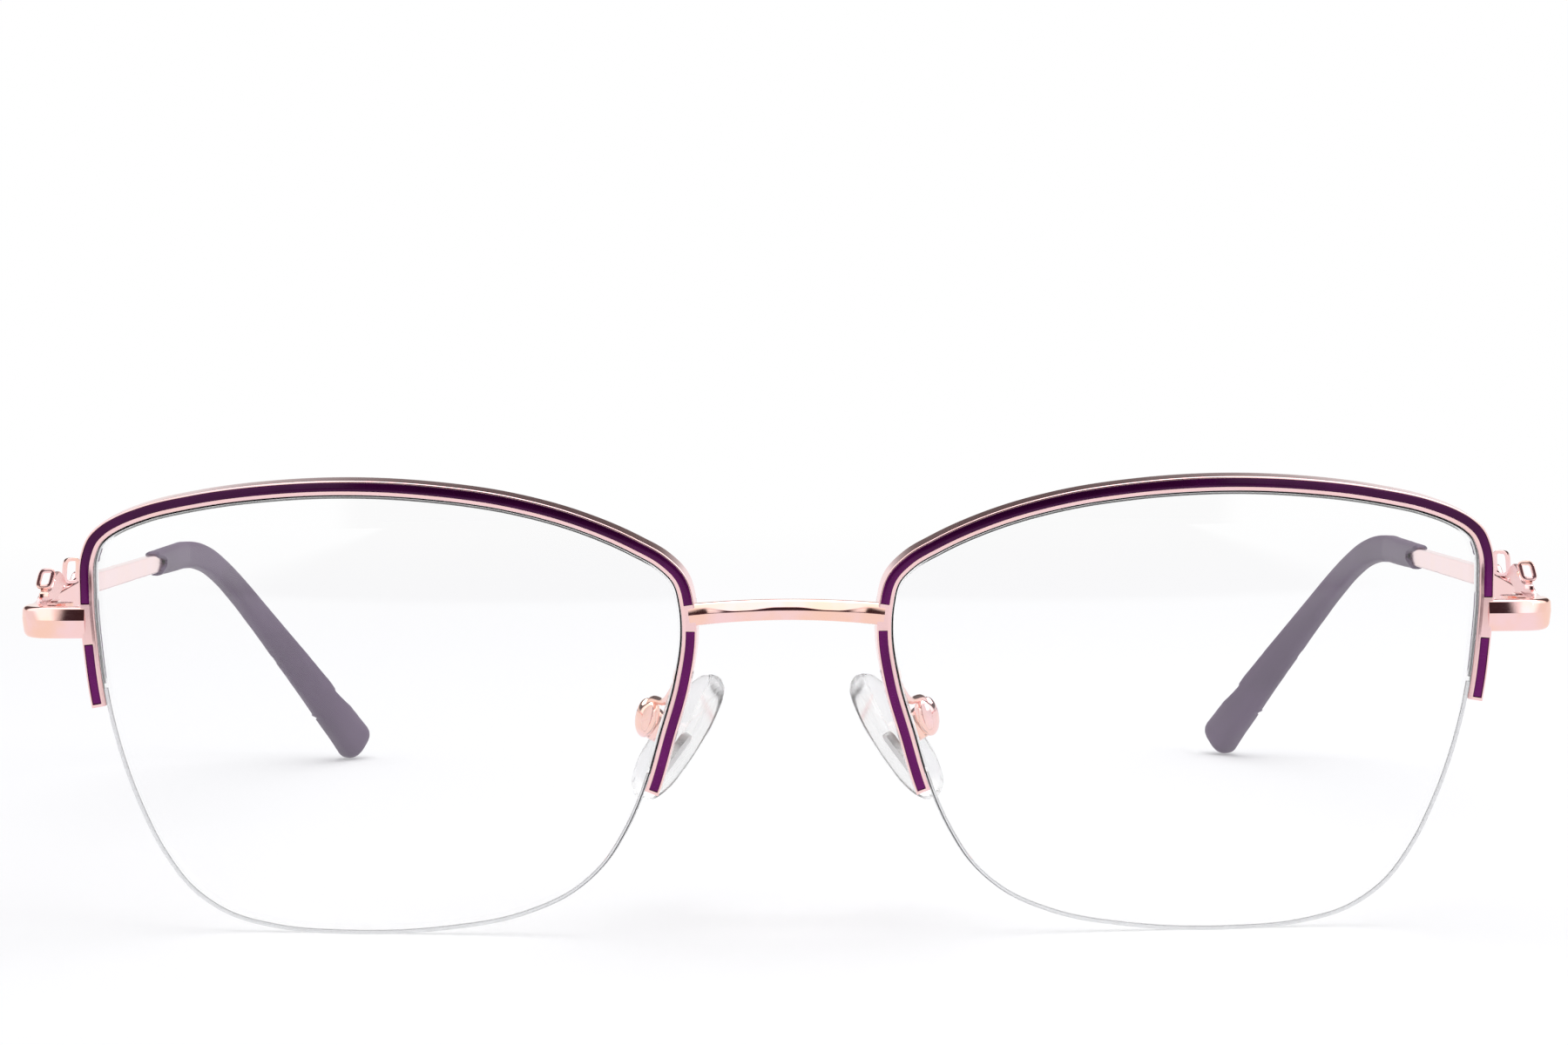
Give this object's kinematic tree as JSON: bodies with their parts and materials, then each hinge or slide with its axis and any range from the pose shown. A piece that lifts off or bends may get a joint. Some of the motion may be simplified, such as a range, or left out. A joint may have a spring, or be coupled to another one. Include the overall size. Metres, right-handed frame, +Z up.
{
  "type": "semi-rimless eyeglasses",
  "caption": "Semi-rimless metal eyeglasses: upper half rims with enamel inlays, clear lenses on a nylon line, adjustable nose pads and folding temples.",
  "frame": {"origin": "on the table that the open glasses stand on, in the middle of their box", "axes": "+Z up, -Y the way the front faces, +X to the right of someone who looks at the front"},
  "size_m": [0.1396, 0.1339, 0.0417],
  "materials": {
    "rose_gold": "polished rose gold plating",
    "purple_enamel": "glossy deep purple enamel",
    "clear_lens": "clear, polished",
    "clear_nylon": "clear nylon",
    "clear_pad": "clear soft silicone",
    "steel": "satin",
    "purple_sleeve": "matte dusky purple"
  },
  "bodies": {
    "front": {"bridge": "rose_gold", "rim_right": "rose_gold", "enamel_side_right": "purple_enamel", "enamel_top_right": "purple_enamel", "enamel_nasal_right": "purple_enamel", "rim_liner_right": "clear_nylon", "nylon_line_right": "clear_nylon", "lens_right": "clear_lens", "endpiece_right": "rose_gold", "hinge_front_right": "rose_gold", "hinge_screw_right": "steel", "pad_box_right": "rose_gold", "pad_screw_right": "steel", "pad_arm_right": "rose_gold", "rim_left": "rose_gold", "enamel_side_left": "purple_enamel", "enamel_top_left": "purple_enamel", "enamel_nasal_left": "purple_enamel", "rim_liner_left": "clear_nylon", "nylon_line_left": "clear_nylon", "lens_left": "clear_lens", "endpiece_left": "rose_gold", "hinge_front_left": "rose_gold", "hinge_screw_left": "steel", "pad_box_left": "rose_gold", "pad_screw_left": "steel", "pad_arm_left": "rose_gold"},
    "right_temple": {"temple_right": "rose_gold", "temple_tip_right": "purple_sleeve", "hinge_temple_right": "rose_gold"},
    "left_temple": {"temple_left": "rose_gold", "temple_tip_left": "purple_sleeve", "hinge_temple_left": "rose_gold"},
    "right_pad": {"nose_pad_right": "clear_pad", "pad_insert_right": "steel"},
    "left_pad": {"nose_pad_left": "clear_pad", "pad_insert_left": "steel"}
  },
  "joints": [
    {"name": "right_temple_fold", "type": "hinge", "parent": "front", "child": "right_temple", "pos_m": [0.06624, -0.05581, 0.02842], "axis": [0, 0, 1], "range_deg": [0, 71]},
    {"name": "left_temple_fold", "type": "hinge", "parent": "front", "child": "left_temple", "pos_m": [-0.06624, -0.05581, 0.02842], "axis": [0, 0, -1], "range_deg": [0, 82]},
    {"name": "right_pad_rock", "type": "hinge", "parent": "front", "child": "right_pad", "pos_m": [0.0117, -0.05332, 0.01786], "axis": [-0.3344, -0.915, -0.2256], "range_deg": [-10, 10]},
    {"name": "left_pad_rock", "type": "hinge", "parent": "front", "child": "left_pad", "pos_m": [-0.0117, -0.05332, 0.01786], "axis": [-0.3344, 0.915, 0.2256], "range_deg": [-10, 10]}
  ]
}
